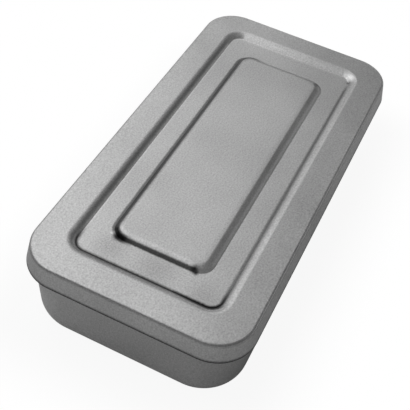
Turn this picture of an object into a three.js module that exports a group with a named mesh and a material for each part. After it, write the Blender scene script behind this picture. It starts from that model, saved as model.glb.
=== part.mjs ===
// Instrument box with a slip-over lid. Both pieces are deep-drawn from stainless sheet.
// Millimetres, +Z up. The origin is the middle of the box's footprint, on the surface it stands on,
// and the long sides run along X.

import * as THREE from 'three';

// Size of the closed box, in plan at the line where the lid's top would meet its skirt
const BOX_LENGTH = 199;
const BOX_WIDTH = 99;
const BOX_HEIGHT = 45;
const BOX_CORNER_RADIUS = 16.5;

// Sheet, and how the lid sits over the body
const SHEET = 0.6;
const SIDE_CLEARANCE = 0.2;
const SEAT_GAP = 0.3;

// Skirt round the lid, which flares a little so that the lid lifts off easily
const SKIRT_DEPTH = 10;
const SKIRT_FLARE = 1.8;
const TOP_BEND_RADIUS = 1.6;

// Margin of the lid, which falls a little from the channel to the skirt
const MARGIN_WIDTH = 14.7;
const MARGIN_FALL = 0.3;

// Channel pressed into the lid: its floor is wider at the ends of the box than along the sides
const CHANNEL_CORNER_RADIUS = 7.6;
const CHANNEL_DEPTH = 2.3;
const CHANNEL_WALL_RUN = 1.6;
const CHANNEL_EDGE_BEND_RADIUS = 4.7;
const CHANNEL_FOOT_BEND_RADIUS = 0.5;
const CHANNEL_FLOOR_AT_ENDS = 12.8;
const CHANNEL_FLOOR_AT_SIDES = 10.3;

// Panel left standing inside the channel
const PANEL_CORNER_RADIUS = 5;
const PANEL_RISE = 2.3;
const PANEL_WALL_RUN = 1.3;
const PANEL_EDGE_BEND_RADIUS = 4;
const PANEL_FOOT_BEND_RADIUS = 0.4;

// Body: how far each wall leans in from rim to floor, and how much rounder the corners get on the way
const WALL_LEAN = 0.5;
const FLOOR_BEND_RADIUS = 10;
const CORNER_EASING = 6;

// Least part of a pressed wall that stays straight between its two bends
const STRAIGHT_SHARE = 0.005;

// Facets round a corner in plan, and round a wide and a narrow bend of the section
const CORNER_STEPS = 10;
const WIDE_BEND_STEPS = 8;
const NARROW_BEND_STEPS = 4;

// Satin stainless steel
const STEEL_COLOUR = 0xa8a8a6;
const STEEL_METALNESS = 1;
const STEEL_ROUGHNESS = 0.38;

// Rounded rectangle in plan, counter-clockwise, with the same number of points whatever its size.
function planOutline(length, width, cornerRadius) {
  const cornerSides = [[1, 1], [-1, 1], [-1, -1], [1, -1]];
  return cornerSides.flatMap(([sideX, sideY], quarter) => {
    const centreX = sideX * (length / 2 - cornerRadius);
    const centreY = sideY * (width / 2 - cornerRadius);
    return Array.from({ length: CORNER_STEPS + 1 }, (_, step) => {
      const turn = (quarter + step / CORNER_STEPS) * Math.PI / 2;
      return new THREE.Vector2(
        centreX + cornerRadius * Math.cos(turn),
        centreY + cornerRadius * Math.sin(turn),
      );
    });
  });
}

// One bend of a section line that runs outward. The straight stretches before and after it would
// meet at (out, up), and headings are angles from level. Each point also says which way is square
// to the sheet there.
function bend(out, up, radius, headingIn, headingOut, steps) {
  const turn = headingOut - headingIn;
  const side = Math.sign(turn);
  const reach = radius * Math.tan(Math.abs(turn) / 2);
  const centreOut = out - reach * Math.cos(headingIn) - side * radius * Math.sin(headingIn);
  const centreUp = up - reach * Math.sin(headingIn) + side * radius * Math.cos(headingIn);
  return Array.from({ length: steps + 1 }, (_, step) => {
    const heading = headingIn + turn * step / steps;
    const squareOut = -Math.sin(heading);
    const squareUp = Math.cos(heading);
    return {
      out: centreOut - side * radius * squareOut,
      up: centreUp - side * radius * squareUp,
      squareOut,
      squareUp,
    };
  });
}

// Both bends of a pressed wall, made smaller together where the wall has no room for them.
function bendsOfWall(run, depth, edgeRadius, edgeTurn, footRadius) {
  const footTurn = Math.atan2(depth, run);
  const reach = edgeRadius * Math.tan(edgeTurn / 2) + footRadius * Math.tan(footTurn / 2);
  const room = (1 - STRAIGHT_SHARE) * Math.hypot(run, depth);
  const fit = Math.min(1, room / reach);
  return { edge: fit * edgeRadius, foot: fit * footRadius };
}

// The trimmed end of a section line.
function trimmedEdge(out, up, heading) {
  return [{ out, up, squareOut: -Math.sin(heading), squareUp: Math.cos(heading) }];
}

// Carries section points round a plan: each becomes a station of the loft.
function stationsRound(plan, points) {
  return points.map((point) => ({ ...plan, ...point }));
}

// Ring of points where the sheet's surface lies at one station, this far off its outer face.
function ringAt(station, offFace) {
  const out = station.out + station.squareOut * offFace;
  const up = station.up + station.squareUp * offFace;
  const outline = planOutline(
    station.length + 2 * out,
    station.width + 2 * out,
    station.cornerRadius + out,
  );
  return outline.map((point) => new THREE.Vector3(point.x, point.y, up));
}

// Lofts a drawn sheet from the middle out to its trimmed edge, and back along its other face.
// The second face lies above the first where offFace is positive and below it where it is negative.
function drawnSheet(stations, offFace) {
  const face = stations.map((station) => ringAt(station, 0));
  const otherFace = stations.map((station) => ringAt(station, offFace));
  const rings = [...face, ...otherFace.reverse()];
  const ringSize = rings[0].length;

  const middles = [rings[0], rings[rings.length - 1]].map((ring) => new THREE.Vector3(0, 0, ring[0].z));
  const points = [...rings.flat(), ...middles];
  const firstMiddle = points.length - 2;
  const lastMiddle = points.length - 1;

  const triangles = [];
  const addTriangle = (a, b, c) => triangles.push(...(offFace < 0 ? [a, b, c] : [a, c, b]));
  for (let along = 0; along < ringSize; along++) {
    const next = (along + 1) % ringSize;
    addTriangle(firstMiddle, along, next);
    for (let ring = 0; ring < rings.length - 1; ring++) {
      const here = ring * ringSize;
      const there = here + ringSize;
      addTriangle(here + along, there + along, there + next);
      addTriangle(here + along, there + next, here + next);
    }
    const last = (rings.length - 1) * ringSize;
    addTriangle(lastMiddle, last + next, last + along);
  }

  const geometry = new THREE.BufferGeometry().setFromPoints(points);
  geometry.setIndex(triangles);
  geometry.computeVertexNormals();
  return geometry;
}

// Plans of the lid's three walls, each where its upper edge would be sharp. The lid's own frame has
// its top at zero.
const lidPlan = {
  length: BOX_LENGTH,
  width: BOX_WIDTH,
  cornerRadius: BOX_CORNER_RADIUS,
};
const channelPlan = {
  length: lidPlan.length - 2 * MARGIN_WIDTH,
  width: lidPlan.width - 2 * MARGIN_WIDTH,
  cornerRadius: CHANNEL_CORNER_RADIUS,
};
const bothWallRuns = CHANNEL_WALL_RUN + PANEL_WALL_RUN;
const panelPlan = {
  length: channelPlan.length - 2 * (bothWallRuns + CHANNEL_FLOOR_AT_ENDS),
  width: channelPlan.width - 2 * (bothWallRuns + CHANNEL_FLOOR_AT_SIDES),
  cornerRadius: PANEL_CORNER_RADIUS,
};

const LEVEL = 0;
const marginHeading = -Math.atan2(MARGIN_FALL, MARGIN_WIDTH);
const panelWallHeading = -Math.atan2(PANEL_RISE, PANEL_WALL_RUN);
const channelWallHeading = Math.atan2(CHANNEL_DEPTH, CHANNEL_WALL_RUN);
const skirtHeading = -Math.atan2(SKIRT_DEPTH - MARGIN_FALL, SKIRT_FLARE);
const panelTop = PANEL_RISE - CHANNEL_DEPTH;

function lidGeometry() {
  const panelBends = bendsOfWall(
    PANEL_WALL_RUN, PANEL_RISE, PANEL_EDGE_BEND_RADIUS, -panelWallHeading, PANEL_FOOT_BEND_RADIUS,
  );
  const panelWall = [
    ...bend(0, panelTop, panelBends.edge, LEVEL, panelWallHeading, WIDE_BEND_STEPS),
    ...bend(
      PANEL_WALL_RUN, -CHANNEL_DEPTH, panelBends.foot, panelWallHeading, LEVEL, NARROW_BEND_STEPS,
    ),
  ];
  const channelBends = bendsOfWall(
    CHANNEL_WALL_RUN, CHANNEL_DEPTH, CHANNEL_EDGE_BEND_RADIUS, channelWallHeading - marginHeading,
    CHANNEL_FOOT_BEND_RADIUS,
  );
  const channelWall = [
    ...bend(
      -CHANNEL_WALL_RUN, -CHANNEL_DEPTH, channelBends.foot,
      LEVEL, channelWallHeading, NARROW_BEND_STEPS,
    ),
    ...bend(0, 0, channelBends.edge, channelWallHeading, marginHeading, WIDE_BEND_STEPS),
  ];
  const skirt = [
    ...bend(0, -MARGIN_FALL, TOP_BEND_RADIUS, marginHeading, skirtHeading, WIDE_BEND_STEPS),
    ...trimmedEdge(SKIRT_FLARE, -SKIRT_DEPTH, skirtHeading),
  ];
  const stations = [
    ...stationsRound(panelPlan, panelWall),
    ...stationsRound(channelPlan, channelWall),
    ...stationsRound(lidPlan, skirt),
  ];
  return drawnSheet(stations, -SHEET);
}

// The body's rim stands inside the skirt, just short of where it would touch the inside of the lid's
// top bend.
const rimInset = SHEET + SIDE_CLEARANCE;
const topBendReach = TOP_BEND_RADIUS * Math.tan((marginHeading - skirtHeading) / 2);
const rimTouchDrop = MARGIN_FALL + TOP_BEND_RADIUS
  - Math.sqrt((TOP_BEND_RADIUS - SHEET) ** 2 - (topBendReach - rimInset) ** 2);
const bodyHeight = BOX_HEIGHT - rimTouchDrop - SEAT_GAP;
const rimPlan = {
  length: BOX_LENGTH - 2 * rimInset,
  width: BOX_WIDTH - 2 * rimInset,
  cornerRadius: BOX_CORNER_RADIUS - rimInset,
};

function bodyGeometry() {
  const wallHeading = Math.atan2(bodyHeight, WALL_LEAN);
  const section = [
    ...bend(-WALL_LEAN, 0, FLOOR_BEND_RADIUS, LEVEL, wallHeading, WIDE_BEND_STEPS),
    ...trimmedEdge(0, bodyHeight, wallHeading),
  ];
  const stations = section.map((point) => ({
    ...rimPlan,
    ...point,
    cornerRadius: rimPlan.cornerRadius + CORNER_EASING * (1 - point.up / bodyHeight),
  }));
  return drawnSheet(stations, SHEET);
}

function steel() {
  return new THREE.MeshStandardMaterial({
    color: STEEL_COLOUR,
    metalness: STEEL_METALNESS,
    roughness: STEEL_ROUGHNESS,
  });
}

const boxBody = new THREE.Mesh(bodyGeometry(), steel());
boxBody.name = 'box_body';

const lid = new THREE.Mesh(lidGeometry(), steel());
lid.name = 'lid';
lid.position.z = BOX_HEIGHT;

const instrumentBox = new THREE.Group();
instrumentBox.name = 'instrument_box';
instrumentBox.add(boxBody, lid);

export default instrumentBox;
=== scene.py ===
"""Instrument box of satin stainless steel: a deep-drawn body and a slip-over lid with a pressed channel.

Every object is in metres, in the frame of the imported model, which gives the outer sizes. As the camera
sees the box, its near end is at -X, its far end at +X, its left side at +Y and its right side at -Y.
"""

import logging
import math
from abc import ABC, abstractmethod
from dataclasses import dataclass, field
from enum import Enum
from functools import cached_property
from typing import ClassVar

import bmesh
import bpy
from bmesh.types import BMEdge, BMesh, BMVert
from bpy.types import Material, Node, NodeSocket, World
from mathutils import Matrix, Vector


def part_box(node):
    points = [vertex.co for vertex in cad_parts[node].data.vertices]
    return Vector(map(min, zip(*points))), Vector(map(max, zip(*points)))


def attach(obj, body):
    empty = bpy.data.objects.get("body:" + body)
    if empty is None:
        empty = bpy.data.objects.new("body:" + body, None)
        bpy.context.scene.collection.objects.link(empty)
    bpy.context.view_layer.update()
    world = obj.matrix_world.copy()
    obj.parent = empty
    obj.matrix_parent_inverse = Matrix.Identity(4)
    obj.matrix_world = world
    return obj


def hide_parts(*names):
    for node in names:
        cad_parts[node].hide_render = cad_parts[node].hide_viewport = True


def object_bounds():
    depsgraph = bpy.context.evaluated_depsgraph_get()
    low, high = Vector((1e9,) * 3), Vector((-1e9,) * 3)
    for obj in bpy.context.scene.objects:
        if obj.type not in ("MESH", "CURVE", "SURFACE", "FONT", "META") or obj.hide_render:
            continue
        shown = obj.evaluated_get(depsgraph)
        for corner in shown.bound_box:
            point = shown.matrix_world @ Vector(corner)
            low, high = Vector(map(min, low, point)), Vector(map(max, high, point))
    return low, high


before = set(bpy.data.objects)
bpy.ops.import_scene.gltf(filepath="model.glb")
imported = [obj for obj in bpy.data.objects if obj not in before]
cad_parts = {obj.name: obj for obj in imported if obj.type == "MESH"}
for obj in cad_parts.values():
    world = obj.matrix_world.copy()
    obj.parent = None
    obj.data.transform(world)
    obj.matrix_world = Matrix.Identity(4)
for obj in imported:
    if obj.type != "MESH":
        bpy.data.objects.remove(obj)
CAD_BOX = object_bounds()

LOG = logging.getLogger("instrument_box")

MM = 0.001
NOISE_MEAN = 0.5

# What an input of a node can be given
Term = NodeSocket | Vector | tuple[float, ...] | float


class Body(Enum):
    """Bodies of the frame that the pieces ride on."""

    BOX = "box"
    LID = "lid"


class Slot(Enum):
    """Material slots of the record."""

    SATIN_STEEL = "satin_steel"


class Side(Enum):
    """Ends and long sides of the box, each with its axis and its sign there."""

    NEAR = ("X", -1)
    FAR = ("X", 1)
    LEFT = ("Y", 1)
    RIGHT = ("Y", -1)


class Corner(Enum):
    """Corners of the box in plan, each with the signs of its X and its Y."""

    NEAR_LEFT = (-1, 1)
    NEAR_RIGHT = (-1, -1)
    FAR_LEFT = (1, 1)
    FAR_RIGHT = (1, -1)


@dataclass(frozen=True)
class Outline:
    """Rounded rectangle in plan, centred over the middle of the box."""

    length: float
    width: float
    corner_radius: float

    def grown(self, out: float) -> "Outline":
        """Returns the outline that runs this far outside this one, or inside it where out is negative."""
        return Outline(self.length + 2 * out, self.width + 2 * out, self.corner_radius + out)

    def half(self, axis: str) -> float:
        """Returns half of the outline's size along X or Y."""
        return (self.length if axis == "X" else self.width) / 2

    def arc_centre(self, corner: Corner) -> Vector:
        """Returns the centre of a corner's arc."""
        sign_x, sign_y = corner.value
        return Vector((
            sign_x * (self.length / 2 - self.corner_radius),
            sign_y * (self.width / 2 - self.corner_radius),
            0,
        ))

    def arc_middle(self, corner: Corner) -> Vector:
        """Returns the middle of a corner's arc."""
        return self.arc_centre(corner) + Vector((*corner.value, 0)).normalized() * self.corner_radius


@dataclass(frozen=True)
class Fold:
    """Line where a drawn sheet turns, or ends, before the turn is rounded.

    A bend_radius of zero leaves the line as it is, as at the trimmed edge.
    """

    outline: Outline
    height: float
    bend_radius: float = 0.0
    bend_segments: int = 8


class NodeBoard:
    """Node tree of one material or world, with short calls to place and join its nodes."""

    def __init__(self, owner: Material | World) -> None:
        """Empties the node tree of a new material or world.

        Args:
            owner: The material or world.
        """
        owner.use_nodes = True
        self.owner = owner
        self.tree = owner.node_tree
        self.tree.nodes.clear()

    @cached_property
    def place(self) -> NodeSocket:
        """Output that gives the place on the object, in metres."""
        return self.node("ShaderNodeTexCoord").outputs["Object"]

    @cached_property
    def parts(self) -> bpy.types.bpy_prop_collection:
        """Outputs that give the place along each axis, by the axis's name."""
        return self.node("ShaderNodeSeparateXYZ", {"Vector": self.place}).outputs

    def node(self, kind: str, inputs: dict[str | int, Term] | None = None, **settings: object) -> Node:
        """Adds a node.

        Args:
            kind: Blender's type name of the node.
            inputs: Outputs to link to its inputs, or values to set there, by name or place of the input.
            **settings: Properties of the node, by name.

        Returns:
            The new node.
        """
        made = self.tree.nodes.new(kind)
        for key, value in settings.items():
            setattr(made, key, value)
        for key, term in (inputs or {}).items():
            if isinstance(term, NodeSocket):
                self.tree.links.new(term, made.inputs[key])
            else:
                made.inputs[key].default_value = term
        return made

    def show(self, shader: NodeSocket) -> None:
        """Joins a shader to the output of the material or world."""
        kind = "ShaderNodeOutputWorld" if isinstance(self.owner, World) else "ShaderNodeOutputMaterial"
        self.node(kind, {"Surface": shader})

    def maths(self, operation: str, *terms: NodeSocket | float) -> NodeSocket:
        """Adds a Math node.

        Args:
            operation: Blender's name of the operation.
            *terms: Outputs or plain numbers that it works on, in order.

        Returns:
            Its output.
        """
        return self.node("ShaderNodeMath", dict(enumerate(terms)), operation=operation).outputs["Value"]

    def vector_maths(self, operation: str, *terms: NodeSocket | Vector) -> NodeSocket:
        """Adds a Vector Math node whose result is a vector.

        Args:
            operation: Blender's name of the operation.
            *terms: Outputs or vectors that it works on, in order.

        Returns:
            Its output.
        """
        made = self.node("ShaderNodeVectorMath", dict(enumerate(terms)), operation=operation)
        return made.outputs["Vector"]

    def length(self, vector: NodeSocket) -> NodeSocket:
        """Measures the length of a vector."""
        return self.node("ShaderNodeVectorMath", {0: vector}, operation="LENGTH").outputs["Value"]

    def diagonal(self, across: NodeSocket, along: NodeSocket) -> NodeSocket:
        """Measures the distance that two lengths square to each other make."""
        squares = [self.maths("MULTIPLY", side, side) for side in (across, along)]
        return self.maths("SQRT", self.maths("ADD", *squares))

    def ramp(
        self,
        value: NodeSocket,
        start: float,
        end: float,
        first: float = 0.0,
        last: float = 1.0,
    ) -> NodeSocket:
        """Turns a length or a share into a share that goes smoothly from one value to another.

        Args:
            value: Output that is turned into the share.
            start: Where it leaves its first value.
            end: Where it reaches its last value, also below the start.
            first: Share at the start and before it.
            last: Share at the end and past it.

        Returns:
            The output that gives the share.
        """
        limits = {"From Min": start, "From Max": end, "To Min": first, "To Max": last}
        made = self.node("ShaderNodeMapRange", {"Value": value, **limits}, interpolation_type="SMOOTHSTEP")
        return made.outputs["Result"]

    def noise(self, scale: float, detail: float = 2.0, place: NodeSocket | None = None) -> NodeSocket:
        """Adds noise.

        Args:
            scale: Number of its cells in a metre.
            detail: Number of finer layers.
            place: Output that gives the place that it reads, if not the place on the object.

        Returns:
            The output that gives it, about one half in the mean.
        """
        read_at = self.place if place is None else place
        made = self.node("ShaderNodeTexNoise", {"Vector": read_at, "Scale": scale, "Detail": detail})
        return made.outputs["Fac"]

    def varied(self, mean: float, layer: NodeSocket, spread: float) -> NodeSocket:
        """Makes a number that varies about its mean with a layer of noise.

        Args:
            mean: The mean.
            layer: Output that gives the noise.
            spread: How far the number would go from end to end of the noise.

        Returns:
            The output that gives the number.
        """
        return self.maths("MULTIPLY_ADD", layer, spread, mean - spread * NOISE_MEAN)

    def outline_distance(self, outline: Outline) -> NodeSocket:
        """Measures how far the place lies from an outline in plan, inside it or outside.

        Args:
            outline: The rounded rectangle.

        Returns:
            The output that gives the distance.
        """
        # Without its signs the place lies in the far left quarter, so one arc stands for all four
        past = [
            self.maths("SUBTRACT", self.maths("ABSOLUTE", self.parts[axis]), centre)
            for axis, centre in zip("XY", outline.arc_centre(Corner.FAR_LEFT))
        ]
        outside = self.diagonal(*(self.maths("MAXIMUM", side, 0.0) for side in past))
        inside = self.maths("MINIMUM", self.maths("MAXIMUM", *past), 0.0)
        from_centres = self.maths("ADD", outside, inside)
        return self.maths("ABSOLUTE", self.maths("SUBTRACT", from_centres, outline.corner_radius))

    def mixed(self, share: NodeSocket, first: NodeSocket, second: NodeSocket) -> NodeSocket:
        """Mixes two shaders.

        Args:
            share: Output that gives the share of the second one.
            first: Shader that shows at a share of zero.
            second: Shader that shows at a share of one.

        Returns:
            The mixed shader.
        """
        return self.node("ShaderNodeMixShader", {0: share, 1: first, 2: second}).outputs["Shader"]

    def show_metal(self, tone: NodeSocket, surface: dict[str, Term]) -> None:
        """Shows a neutral grey metal.

        Args:
            tone: Output that gives its tone.
            surface: Its roughness and other inputs of its shader, by name.
        """
        colour = self.node("ShaderNodeCombineColor", {"Red": tone, "Green": tone, "Blue": tone})
        inputs = {"Base Color": colour.outputs["Color"], "Metallic": 1.0, **surface}
        self.show(self.node("ShaderNodeBsdfPrincipled", inputs).outputs["BSDF"])


@dataclass(frozen=True)
class Fade:
    """Where a mark dies away, measured inwards from one side of an outline.

    A mark that stays by the side is full near it and gone further in. One that stays short of the side is
    gone near it and full further in.
    """

    outline: Outline
    side: Side
    full: float
    gone: float

    def share(self, board: NodeBoard) -> NodeSocket:
        """Works out how much of the mark is left.

        Args:
            board: Material that shows the mark.

        Returns:
            The output that gives it, from zero to one.
        """
        axis, sign = self.side.value
        inwards = board.maths("MULTIPLY_ADD", board.parts[axis], -sign, self.outline.half(axis))
        return board.ramp(inwards, self.gone, self.full)


@dataclass(frozen=True, kw_only=True)
class Mark(ABC):
    """Mark painted into the steel's tone: mostly painted shade and, where its strength is negative, a
    painted highlight.

    It is whole up to its core, a share of its reach, and dies away from there to its reach.
    """

    strength: float
    reach: float
    core: float = 0.0
    fades: tuple[Fade, ...] = ()

    raggedness: ClassVar[float] = 0.5 * MM
    ragged_scale: ClassVar[float] = 900.0

    @abstractmethod
    def distance(self, board: NodeBoard) -> NodeSocket:
        """Measures how far the place lies from the middle of the mark."""

    def share(self, board: NodeBoard) -> NodeSocket:
        """Works out what the mark leaves of the steel's tone.

        Args:
            board: Material that shows the mark.

        Returns:
            The output that gives it, which is one away from the mark.
        """
        shift = board.varied(0.0, board.noise(self.ragged_scale), self.raggedness)
        ragged = board.maths("ADD", self.distance(board), shift)
        weight = board.ramp(ragged, self.core * self.reach, self.reach, self.strength, 0.0)
        for fade in self.fades:
            weight = board.maths("MULTIPLY", weight, fade.share(board))
        return board.maths("SUBTRACT", 1.0, weight)


@dataclass(frozen=True, kw_only=True)
class FoldMark(Mark):
    """Painted shade, or a painted highlight, along a fold or so far out from it and up from it."""

    fold: Fold
    out: float = 0.0
    up: float = 0.0

    def distance(self, board: NodeBoard) -> NodeSocket:
        """Measures how far the place lies from the line of the mark."""
        above = board.maths("SUBTRACT", board.parts["Z"], self.fold.height + self.up)
        return board.diagonal(board.outline_distance(self.fold.outline.grown(self.out)), above)


@dataclass(frozen=True, kw_only=True)
class HeightMark(Mark):
    """Line at one height round a wall, as along a trimmed edge."""

    height: float

    def distance(self, board: NodeBoard) -> NodeSocket:
        """Measures how far the place lies above or below the line."""
        return board.maths("ABSOLUTE", board.maths("SUBTRACT", board.parts["Z"], self.height))


@dataclass(frozen=True, kw_only=True)
class SpotMark(Mark):
    """Round spot of painted shade or, where its strength is negative, of painted highlight."""

    centre: Vector

    def distance(self, board: NodeBoard) -> NodeSocket:
        """Measures how far the place lies from the middle of the spot in plan."""
        middles = zip("XY", self.centre)
        return board.diagonal(*(board.maths("SUBTRACT", board.parts[axis], at) for axis, at in middles))


@dataclass(frozen=True)
class SatinSteel:
    """Stainless sheet with a fine matt finish, clouded, grained and lightly scratched by use."""

    tone: float = 0.40
    cloud_depth: float = 0.2
    cloud_scale: float = 22.0
    grain_depth: float = 0.95
    grain_scale: float = 1400.0
    layer_detail: float = 3.0
    roughness: float = 0.42
    roughness_spread: float = 0.06
    scratch_depth: float = 0.05
    scratch_turn: float = math.radians(31)
    scratch_stretch: Vector = field(default_factory=lambda: Vector((14.0, 2600.0, 14.0)))
    scratch_levels: tuple[float, float] = (0.66, 0.74)
    bump_depth: float = 0.012 * MM
    bump_scale: float = 2600.0
    edge_tone: float = 0.55
    edge_roughness: float = 0.3

    def sheet(self, name: str, marks: list[Mark]) -> Material:
        """Makes the finish of a sheet's two sides.

        Args:
            name: Name of the material.
            marks: Marks painted into its tone, which stand for shade and highlights.

        Returns:
            The material.
        """
        board = NodeBoard(bpy.data.materials.new(name))
        clouds = board.noise(self.cloud_scale, self.layer_detail)
        grain = board.noise(self.grain_scale, self.layer_detail)
        tone = board.varied(self.tone, clouds, self.cloud_depth)
        layers = [
            board.varied(1.0, grain, self.grain_depth),
            board.maths("MULTIPLY_ADD", self.scratches(board), self.scratch_depth, 1.0),
            # Each mark paints shade or a highlight into the tone
            *(mark.share(board) for mark in marks),
        ]
        for layer in layers:
            tone = board.maths("MULTIPLY", tone, layer)
        roughness = board.varied(self.roughness, clouds, self.roughness_spread)
        pits = board.noise(self.bump_scale)
        bump = board.node("ShaderNodeBump", {"Distance": self.bump_depth, "Height": pits})
        board.show_metal(tone, {"Roughness": roughness, "Normal": bump.outputs["Normal"]})
        return board.owner

    def scratches(self, board: NodeBoard) -> NodeSocket:
        """Draws fine straight scratches, as the peaks of a noise that is stretched along them.

        Args:
            board: Material that shows them.

        Returns:
            The output that is one on a scratch and zero beside it.
        """
        turn = {"Vector": board.place, "Rotation": (0, 0, self.scratch_turn)}
        turned = board.node("ShaderNodeMapping", turn).outputs["Vector"]
        stretched = board.vector_maths("MULTIPLY", turned, self.scratch_stretch)
        return board.ramp(board.noise(scale=1.0, detail=1.0, place=stretched), *self.scratch_levels)

    def cut_edge(self, name: str) -> Material:
        """Makes the brighter finish of a trimmed edge, which the shears leave and handling rubs.

        Args:
            name: Name of the material.

        Returns:
            The material.
        """
        board = NodeBoard(bpy.data.materials.new(name))
        tone = board.varied(self.edge_tone, board.noise(self.grain_scale), self.grain_depth)
        board.show_metal(tone, {"Roughness": self.edge_roughness})
        return board.owner


def lay_blank(bm: BMesh, fold: Fold, corner_segments: int) -> list[BMEdge]:
    """Lays the flat middle of a sheet into a mesh, as one rounded rectangle.

    Args:
        bm: Empty mesh that gets the blank.
        fold: Outline and height of the blank.
        corner_segments: Number of edges round each corner.

    Returns:
        The edges round the blank.
    """
    corners = bmesh.ops.create_grid(bm, x_segments=1, y_segments=1, size=1)["verts"]
    bmesh.ops.scale(bm, vec=(fold.outline.half("X"), fold.outline.half("Y"), 1), verts=corners)
    bmesh.ops.translate(bm, vec=(0, 0, fold.height), verts=corners)
    bmesh.ops.bevel(
        bm,
        geom=corners,
        affect="VERTICES",
        offset=fold.outline.corner_radius,
        segments=corner_segments,
        profile=0.5,
        material=-1,
    )
    return list(bm.edges)


def draw_on(bm: BMesh, loop: list[BMEdge], start: Fold, end: Fold) -> list[BMEdge]:
    """Draws the sheet on from one fold to the next.

    Args:
        bm: Mesh of the sheet so far.
        loop: Edges of the fold that the sheet has reached.
        start: That fold.
        end: The next fold outwards.

    Returns:
        The edges of the next fold.
    """
    drawn = bmesh.ops.extrude_edge_only(bm, edges=loop)["geom"]
    ring = [vert for vert in drawn if isinstance(vert, BMVert)]
    bmesh.ops.translate(bm, vec=(0, 0, end.height - start.height), verts=ring)
    growth = end.outline.corner_radius / start.outline.corner_radius
    for corner in Corner:
        sign_x, sign_y = corner.value
        arc = [vert for vert in ring if vert.co.x * sign_x > 0 and vert.co.y * sign_y > 0]
        old_centre = start.outline.arc_centre(corner)
        new_centre = end.outline.arc_centre(corner)
        bmesh.ops.scale(bm, vec=(growth, growth, 1), space=Matrix.Translation(-old_centre), verts=arc)
        bmesh.ops.translate(bm, vec=new_centre - old_centre, verts=arc)
    around = set(ring)
    return [edge for edge in drawn if isinstance(edge, BMEdge) and around.issuperset(edge.verts)]


@dataclass
class DrawnSheet(ABC):
    """Piece drawn from one blank of sheet, from its flat middle out to its trimmed edge."""

    name: str
    body: Body
    node: str
    outer_side_up: bool
    finish: SatinSteel = SatinSteel()
    sheet: float = 0.6 * MM
    corner_segments: int = 32
    trim_bevel: float = 0.1 * MM
    trim_segments: int = 2
    trim_angle: float = math.radians(50)

    @abstractmethod
    def folds(self) -> list[Fold]:
        """Returns the piece's folds, from the middle outwards."""

    @abstractmethod
    def marks(self) -> list[Mark]:
        """Returns the marks painted into the piece's tone, as shade and highlights."""

    def build(self) -> bpy.types.Object:
        """Presses the sheet, gives it its thickness and dresses it.

        Returns:
            The finished piece, riding on its body.
        """
        mesh = bpy.data.meshes.new(self.name)
        self.press(mesh)
        mesh.materials.append(self.finish.sheet(f"{self.name}_satin", self.marks()))
        mesh.materials.append(self.finish.cut_edge(f"{self.name}_cut_edge"))
        piece = bpy.data.objects.new(self.name, mesh)
        bpy.context.scene.collection.objects.link(piece)
        self.thicken(piece)

        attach(piece, self.body.value)
        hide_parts(self.node)
        return piece

    def press(self, mesh: bpy.types.Mesh) -> None:
        """Draws the outer side of the sheet, from its blank to its trimmed edge.

        Args:
            mesh: Empty mesh that gets it.
        """
        bm = bmesh.new()
        folds = self.folds()
        loops = [lay_blank(bm, folds[0], self.corner_segments)]
        for start, end in zip(folds, folds[1:]):
            loops.append(draw_on(bm, loops[-1], start, end))
        self.round_folds(bm, folds, loops)
        bmesh.ops.recalc_face_normals(bm, faces=bm.faces)
        bm.normal_update()
        middle = max(bm.faces, key=lambda face: face.calc_area())
        if (middle.normal.z > 0) != self.outer_side_up:
            bmesh.ops.reverse_faces(bm, faces=bm.faces)
        for face in bm.faces:
            face.smooth = True
        bm.to_mesh(mesh)
        bm.free()

    def round_folds(self, bm: BMesh, folds: list[Fold], loops: list[list[BMEdge]]) -> None:
        """Rounds each fold that has a bend radius.

        Args:
            bm: Mesh of the sharp sheet.
            folds: Folds, from the middle outwards.
            loops: Edges of each fold.
        """
        for index, (fold, loop) in enumerate(zip(folds, loops)):
            if not fold.bend_radius:
                continue
            heading_in = self.heading(folds[index - 1], fold) if index else 0.0
            heading_out = self.heading(fold, folds[index + 1])
            turn = abs(heading_out - heading_in)
            bmesh.ops.bevel(
                bm,
                geom=loop,
                affect="EDGES",
                offset=fold.bend_radius * math.tan(turn / 2),
                segments=fold.bend_segments,
                profile=0.5,
                material=-1,
            )

    @staticmethod
    def heading(start: Fold, end: Fold) -> float:
        """Returns the slope, as an angle from level, of the sheet between two folds."""
        run = (end.outline.length - start.outline.length) / 2
        return math.atan2(end.height - start.height, run)

    def thicken(self, piece: bpy.types.Object) -> None:
        """Gives a pressed surface its sheet thickness and breaks the sharp corners of its trimmed edge.

        Args:
            piece: Object with the pressed surface.
        """
        solidify = piece.modifiers.new("sheet", "SOLIDIFY")
        solidify.thickness = self.sheet
        solidify.offset = -1
        solidify.use_even_offset = True
        solidify.material_offset_rim = 1
        trim = piece.modifiers.new("trimmed_edge", "BEVEL")
        trim.width = self.trim_bevel
        trim.segments = self.trim_segments
        trim.limit_method = "ANGLE"
        trim.angle_limit = self.trim_angle
        shading = piece.modifiers.new("even_shading", "WEIGHTED_NORMAL")
        shading.keep_sharp = True


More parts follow.
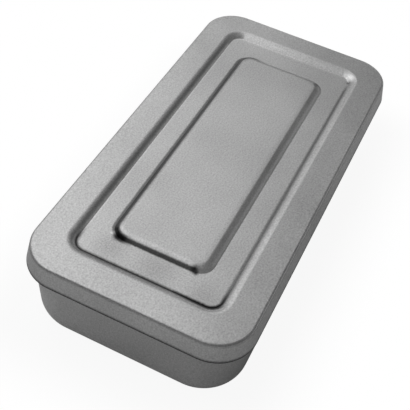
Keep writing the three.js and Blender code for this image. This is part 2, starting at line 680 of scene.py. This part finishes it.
@dataclass
class Lid(DrawnSheet):
    """Slip-over lid: skirt, flat margin, pressed channel and the panel left standing inside it."""

    name: str = "lid_sheet"
    body: Body = Body.LID
    node: str = "lid"
    outer_side_up: bool = True
    corner_radius: float = 16.5 * MM
    skirt_flare: float = 1.8 * MM
    top_bend_radius: float = 1.3 * MM
    margin_width: float = 14.2 * MM
    margin_fall: float = 0.3 * MM
    channel_corner_radius: float = 7.6 * MM
    channel_depth: float = 2.2 * MM
    channel_wall_run: float = 2.2 * MM
    channel_edge_bend_radius: float = 4.8 * MM
    channel_foot_bend_radius: float = 0.5 * MM
    channel_floor_at_ends: float = 12.7 * MM
    channel_floor_at_sides: float = 10.2 * MM
    panel_corner_radius: float = 5 * MM
    panel_rise: float = 2.2 * MM
    panel_wall_run: float = 2.2 * MM
    panel_edge_bend_radius: float = 4.2 * MM
    panel_foot_bend_radius: float = 0.4 * MM

    def folds(self) -> list[Fold]:
        """Works the lid's folds out from the size of its CAD node.

        Returns:
            The folds, from the panel's edge out to the trimmed edge of the skirt.
        """
        low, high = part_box(self.node)
        skirt_edge = Outline(high.x - low.x, high.y - low.y, self.corner_radius + self.skirt_flare)
        lid = skirt_edge.grown(-self.skirt_flare)
        channel = Outline(
            lid.length - 2 * self.margin_width,
            lid.width - 2 * self.margin_width,
            self.channel_corner_radius,
        )
        wall_runs = self.channel_wall_run + self.panel_wall_run
        panel = Outline(
            channel.length - 2 * (wall_runs + self.channel_floor_at_ends),
            channel.width - 2 * (wall_runs + self.channel_floor_at_sides),
            self.panel_corner_radius,
        )
        top = high.z
        channel_floor = top - self.channel_depth
        return [
            Fold(panel, channel_floor + self.panel_rise, self.panel_edge_bend_radius),
            Fold(panel.grown(self.panel_wall_run), channel_floor, self.panel_foot_bend_radius),
            Fold(channel.grown(-self.channel_wall_run), channel_floor, self.channel_foot_bend_radius),
            Fold(channel, top, self.channel_edge_bend_radius),
            Fold(lid, top - self.margin_fall, self.top_bend_radius, bend_segments=12),
            Fold(skirt_edge, low.z),
        ]

    def marks(self) -> list[Mark]:
        """Returns the shade and highlights painted into the lid's tone."""
        panel_edge, panel_foot, channel_foot, _, top_bend, skirt_edge = self.folds()
        return [
            *self.channel_lines(channel_foot),
            *self.panel_lines(panel_foot, panel_edge),
            # Painted dark reflection along the lid's top bend
            FoldMark(fold=top_bend, out=0.3 * MM, up=-0.6 * MM, reach=1.3 * MM, strength=0.4),
            # Painted shadow under the skirt's trimmed edge
            HeightMark(height=skirt_edge.height, reach=1.9 * MM, strength=0.9),
            *self.corner_spots(panel_foot.outline, channel_foot.outline),
            *self.shade_patches(channel_foot.outline),
        ]

    @staticmethod
    def channel_lines(foot: Fold) -> list[Mark]:
        """Places the lines along the channel's wall, which differ from side to side.

        Args:
            foot: Fold at the foot of the wall.

        Returns:
            Lines of painted shade and of painted highlight, from the foot up the wall to its shoulder.
        """
        near_end = Fade(foot.outline, Side.NEAR, full=3 * MM, gone=15 * MM)
        near_wall = Fade(foot.outline, Side.NEAR, full=1 * MM, gone=4 * MM)
        short_of_near_end = Fade(foot.outline, Side.NEAR, full=13 * MM, gone=4 * MM)
        far_wall = Fade(foot.outline, Side.FAR, full=1 * MM, gone=5 * MM)
        short_of_far_end = Fade(foot.outline, Side.FAR, full=13 * MM, gone=2 * MM)
        left_side = Fade(foot.outline, Side.LEFT, full=15 * MM, gone=23 * MM)
        right_side = Fade(foot.outline, Side.RIGHT, full=15 * MM, gone=23 * MM)
        right_corner = Fade(foot.outline, Side.RIGHT, full=8 * MM, gone=20 * MM)

        # near_foot, near_corner, left_shoulder and right_foot paint shade; left_foot, far_slope and
        # right_shoulder paint highlights
        near_foot = FoldMark(fold=foot, out=-0.1 * MM, reach=1.6 * MM, strength=0.9, fades=(near_end,))
        near_corner = FoldMark(
            fold=foot,
            out=0.7 * MM,
            up=0.7 * MM,
            reach=2 * MM,
            core=0.3,
            strength=0.7,
            fades=(near_wall, right_corner),
        )
        left_shoulder = FoldMark(
            fold=foot,
            out=1.6 * MM,
            up=1.6 * MM,
            reach=1.4 * MM,
            strength=0.32,
            fades=(short_of_far_end, left_side),
        )
        left_foot = FoldMark(
            fold=foot,
            out=0.2 * MM,
            up=0.2 * MM,
            reach=1.1 * MM,
            strength=-0.55,
            fades=(short_of_far_end, short_of_near_end, left_side),
        )
        far_slope = FoldMark(
            fold=foot,
            out=0.5 * MM,
            up=0.5 * MM,
            reach=2.6 * MM,
            strength=-0.2,
            fades=(far_wall,),
        )
        right_foot = FoldMark(
            fold=foot,
            out=-0.2 * MM,
            reach=1.3 * MM,
            strength=0.62,
            fades=(short_of_far_end, right_side),
        )
        right_shoulder = FoldMark(
            fold=foot,
            out=1.7 * MM,
            up=1.7 * MM,
            reach=1.4 * MM,
            strength=-0.16,
            fades=(short_of_far_end, right_side),
        )
        return [near_foot, near_corner, left_shoulder, left_foot, far_slope, right_foot, right_shoulder]

    @staticmethod
    def panel_lines(foot: Fold, edge: Fold) -> list[Mark]:
        """Places the lines along the panel's wall, which differ from side to side.

        Args:
            foot: Fold at the foot of the wall.
            edge: Fold at its upper edge.

        Returns:
            Lines of painted shade and of painted highlight.
        """
        near_wall = Fade(foot.outline, Side.NEAR, full=4 * MM, gone=6 * MM)
        left_side = Fade(foot.outline, Side.LEFT, full=5 * MM, gone=13 * MM)
        right_side = Fade(foot.outline, Side.RIGHT, full=5 * MM, gone=13 * MM)
        short_of_right_side = Fade(foot.outline, Side.RIGHT, full=7.5 * MM, gone=4.5 * MM)

        # near_slope, left_slope and right_lip paint shade; right_slope and near_lip paint highlights
        near_slope = FoldMark(
            fold=foot,
            out=-0.7 * MM,
            up=0.7 * MM,
            reach=1.5 * MM,
            core=0.4,
            strength=0.75,
            fades=(near_wall, short_of_right_side),
        )
        left_slope = FoldMark(
            fold=foot,
            out=-0.6 * MM,
            up=0.6 * MM,
            reach=2.3 * MM,
            core=0.6,
            strength=0.68,
            fades=(left_side,),
        )
        right_slope = FoldMark(
            fold=foot,
            out=-1 * MM,
            up=1 * MM,
            reach=2.6 * MM,
            strength=-0.14,
            fades=(right_side,),
        )
        right_lip = FoldMark(fold=edge, out=-1.6 * MM, reach=2.6 * MM, strength=0.14, fades=(right_side,))
        near_lip = FoldMark(fold=edge, out=-0.7 * MM, reach=1.4 * MM, strength=-0.14, fades=(near_wall,))
        return [near_slope, left_slope, right_slope, right_lip, near_lip]

    @staticmethod
    def corner_spots(panel_foot: Outline, channel_foot: Outline) -> list[Mark]:
        """Places spots of painted shade at the corners, and spots of painted highlight where the corners
        catch light.

        Args:
            panel_foot: Outline of the panel's foot.
            channel_foot: Outline of the channel's foot.

        Returns:
            Spots of painted shade at three corners of the panel, and a painted highlight with a spot of
            painted shade beside it at the panel's near left corner and at the channel's far right one.
        """
        # Spots of painted shade at the panel's corners
        shade_spots = [
            SpotMark(
                centre=panel_foot.arc_middle(corner) + Vector((*shift, 0)) * MM,
                reach=reach * MM,
                strength=strength,
            )
            # The shift is from the middle of the corner's arc, and it and the reach are in millimetres
            for corner, shift, reach, strength in (
                (Corner.NEAR_LEFT, (-1.3, -1.8), 3.2, 0.92),
                (Corner.NEAR_LEFT, (-1.5, -4.2), 2.6, 0.8),
                (Corner.NEAR_RIGHT, (-0.8, 4.6), 2.8, 0.85),
                (Corner.NEAR_RIGHT, (-2.0, 3.4), 1.8, 0.8),
                (Corner.FAR_RIGHT, (-1.5, 1.5), 2.8, 0.55),
            )
        ]
        # Painted highlights at two corners, with a spot of painted shade beside the far one
        highlight_near = panel_foot.grown(1.6 * MM).arc_middle(Corner.NEAR_LEFT) + Vector((1.0, -0.3, 0)) * MM
        highlight_far = channel_foot.grown(1.5 * MM).arc_middle(Corner.FAR_RIGHT)
        beside_highlight_far = highlight_far + Vector((-3.4, 0, 0)) * MM
        return [
            *shade_spots,
            SpotMark(centre=beside_highlight_far, reach=1.5 * MM, strength=0.7),
            SpotMark(centre=highlight_near, reach=1.7 * MM, strength=-0.9),
            SpotMark(centre=highlight_far, reach=3 * MM, strength=-0.45),
        ]

    @staticmethod
    def shade_patches(channel_foot: Outline) -> list[Mark]:
        """Places broad faint patches of painted shade.

        Args:
            channel_foot: Outline of the channel's foot.

        Returns:
            Three at the near end of the channel, one on the panel and one round the far right corner.
        """
        end = channel_foot.half("X")
        side = channel_foot.half("Y")
        return [
            SpotMark(centre=Vector((along, across, 0)), reach=reach, strength=strength)
            for along, across, reach, strength in (
                # Near end of the channel: left, middle and right
                (7 * MM - end, side - 14 * MM, 11 * MM, 0.18),
                (6 * MM - end, -3 * MM, 14 * MM, 0.2),
                (4 * MM - end, 8 * MM - side, 12 * MM, 0.15),
                # Panel
                (0, 8 * MM, 30 * MM, 0.06),
                # Far right corner
                (end, -side, 50 * MM, 0.1),
            )
        ]


@dataclass
class BoxBody(DrawnSheet):
    """Deep-drawn body, whose walls lean in and whose corners get rounder towards the floor."""

    name: str = "body_sheet"
    body: Body = Body.BOX
    node: str = "box_body"
    outer_side_up: bool = False
    finish: SatinSteel = SatinSteel(tone=0.43)
    rim_corner_radius: float = 15.7 * MM
    corner_easing: float = 6 * MM
    wall_lean: float = 0.5 * MM
    floor_bend_radius: float = 10 * MM

    def folds(self) -> list[Fold]:
        """Works the body's folds out from the size of its CAD node.

        Returns:
            The folds, from the edge of the floor up to the rim.
        """
        low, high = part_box(self.node)
        rim = Outline(high.x - low.x, high.y - low.y, self.rim_corner_radius)
        rim_at_floor = Outline(rim.length, rim.width, rim.corner_radius + self.corner_easing)
        return [
            Fold(rim_at_floor.grown(-self.wall_lean), low.z, self.floor_bend_radius, bend_segments=20),
            Fold(rim, high.z),
        ]

    def marks(self) -> list[Mark]:
        """Returns the faint dark line round the walls at the lid's edge, partly rubbed by that edge and
        partly painted shade under it.
        """
        lid_low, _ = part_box("lid")
        # Line rubbed by the lid's edge, darkened further as painted shade under it
        return [HeightMark(height=lid_low.z, reach=1.5 * MM, strength=0.2)]


@dataclass(frozen=True)
class PhotoCamera:
    """Camera at the photograph's place: where it looks, from how far, and how it is tilted."""

    target: Vector = field(default_factory=lambda: Vector((-17.44 * MM, 1.14 * MM, 22.5 * MM)))
    distance: float = 385.12 * MM
    heading: float = math.radians(71.364)
    fall: float = math.radians(47.766)
    roll: float = math.radians(9.088)
    sensor: float = 36.0
    lens: float = 72.36
    clip_start: float = 10 * MM

    def build(self) -> None:
        """Makes the camera and sets it as the scene's own."""
        data = bpy.data.cameras.new("photo_camera")
        data.sensor_width = self.sensor
        data.lens = self.lens
        data.clip_start = self.clip_start
        camera = bpy.data.objects.new("photo_camera", data)
        turn = (
            Matrix.Rotation(-self.heading, 3, "Z")
            @ Matrix.Rotation(math.radians(90) - self.fall, 3, "X")
            @ Matrix.Rotation(self.roll, 3, "Z")
        )
        back = turn @ Vector((0, 0, 1))
        camera.matrix_world = Matrix.Translation(self.target + back * self.distance) @ turn.to_4x4()
        bpy.context.scene.collection.objects.link(camera)
        bpy.context.scene.camera = camera


@dataclass(frozen=True)
class Studio:
    """Pale floor, a low white backdrop, one large overhead softbox and a dim surround."""

    floor_size: float = 6.0
    floor_colour: tuple[float, ...] = (0.62, 0.62, 0.62, 1.0)
    white_share_at_box: float = 0.92
    white_reach: float = 40 * MM
    mirrored_white_reach: float = 300 * MM
    softbox_size: tuple[float, float] = (2.95, 1.92)
    softbox_height: float = 1.25
    softbox_shift: tuple[float, float] = (0.33, 1.11)
    softbox_power: float = 25.5
    backdrop_radius: float = 2.6
    backdrop_height: float = 0.6
    backdrop_span: tuple[float, float] = (math.radians(-80), math.radians(95))
    backdrop_steps: int = 32
    surround: tuple[float, ...] = (0.26, 0.26, 0.26, 1.0)
    white: tuple[float, ...] = (1.0, 1.0, 1.0, 1.0)

    def build(self) -> None:
        """Lays the floor, stands the backdrop, hangs the softbox and sets the world and the view."""
        self.lay_floor()
        self.stand_backdrop()
        self.hang_softbox()
        bpy.context.scene.world = self.dim_surround()
        bpy.context.scene.view_settings.view_transform = "Standard"

    def lay_floor(self) -> None:
        """Lays the floor under the box."""
        bm = bmesh.new()
        bmesh.ops.create_grid(bm, x_segments=1, y_segments=1, size=self.floor_size / 2)
        self.add_stage("floor", bm)

    def stand_backdrop(self) -> None:
        """Stands a low curved sheet of paper round the far side of the floor."""
        bm = bmesh.new()
        low = bm.verts.new((self.backdrop_radius, 0, 0))
        high = bm.verts.new((self.backdrop_radius, 0, self.backdrop_height))
        edge = bm.edges.new((low, high))
        first, last = self.backdrop_span
        bmesh.ops.rotate(bm, matrix=Matrix.Rotation(first, 3, "Z"), verts=bm.verts)
        bmesh.ops.spin(
            bm,
            geom=[edge, low, high],
            axis=(0, 0, 1),
            cent=(0, 0, 0),
            angle=last - first,
            steps=self.backdrop_steps,
        )
        self.add_stage("backdrop", bm)

    def add_stage(self, name: str, bm: BMesh) -> None:
        """Makes a paper object of a mesh.

        Args:
            name: Name of the object.
            bm: Its mesh, which is freed.
        """
        mesh = bpy.data.meshes.new(name)
        bm.to_mesh(mesh)
        bm.free()
        mesh.materials.append(self.paper(f"{name}_paper"))
        sheet = bpy.data.objects.new(name, mesh)
        bpy.context.scene.collection.objects.link(sheet)

    def paper(self, name: str) -> Material:
        """Makes matt paper that shows white away from the box and keeps the box's shadow beside it.

        Args:
            name: Name of the material.

        Returns:
            The material.
        """
        board = NodeBoard(bpy.data.materials.new(name))
        folded = board.vector_maths("ABSOLUTE", board.place)
        past = board.vector_maths("SUBTRACT", folded, Vector(CAD_BOX[1]))
        from_box = board.length(board.vector_maths("MAXIMUM", past, Vector((0, 0, 0))))

        ray = board.node("ShaderNodeLightPath").outputs
        direct = board.ramp(from_box, 0.0, self.white_reach, self.white_share_at_box)
        mirrored = board.ramp(from_box, 0.0, self.mirrored_white_reach)
        through = board.maths("MAXIMUM", ray["Is Glossy Ray"], ray["Is Transmission Ray"])
        weight = board.maths(
            "MAXIMUM",
            board.maths("MULTIPLY", ray["Is Camera Ray"], direct),
            board.maths("MULTIPLY", through, mirrored),
        )
        matt = board.node("ShaderNodeBsdfDiffuse", {"Color": self.floor_colour})
        white = board.node("ShaderNodeEmission", {"Color": self.white})
        board.show(board.mixed(weight, matt.outputs["BSDF"], white.outputs["Emission"]))
        return board.owner

    def hang_softbox(self) -> None:
        """Hangs the softbox, level, over the left side of the box."""
        data = bpy.data.lights.new("overhead_softbox", "AREA")
        data.shape = "RECTANGLE"
        data.size, data.size_y = self.softbox_size
        data.energy = self.softbox_power
        softbox = bpy.data.objects.new("overhead_softbox", data)
        softbox.location = (*self.softbox_shift, self.softbox_height)
        bpy.context.scene.collection.objects.link(softbox)

    def dim_surround(self) -> World:
        """Makes the world, which lights the box dimly and shows white to the camera.

        Returns:
            The world.
        """
        board = NodeBoard(bpy.data.worlds.new("studio"))
        dim = board.node("ShaderNodeBackground", {"Color": self.surround})
        white = board.node("ShaderNodeBackground", {"Color": self.white})
        seen = board.node("ShaderNodeLightPath").outputs["Is Camera Ray"]
        board.show(board.mixed(seen, dim.outputs["Background"], white.outputs["Background"]))
        return board.owner


def main() -> None:
    """Builds the camera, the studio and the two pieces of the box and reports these."""
    logging.basicConfig(level=logging.INFO, format="%(name)s: %(message)s")
    PhotoCamera().build()
    Studio().build()
    for sheet in (Lid(), BoxBody()):
        piece = sheet.build()
        LOG.info("%s: %d faces before its thickness", piece.name, len(piece.data.polygons))
    bpy.context.view_layer.update()


if __name__ == "__main__":
    main()
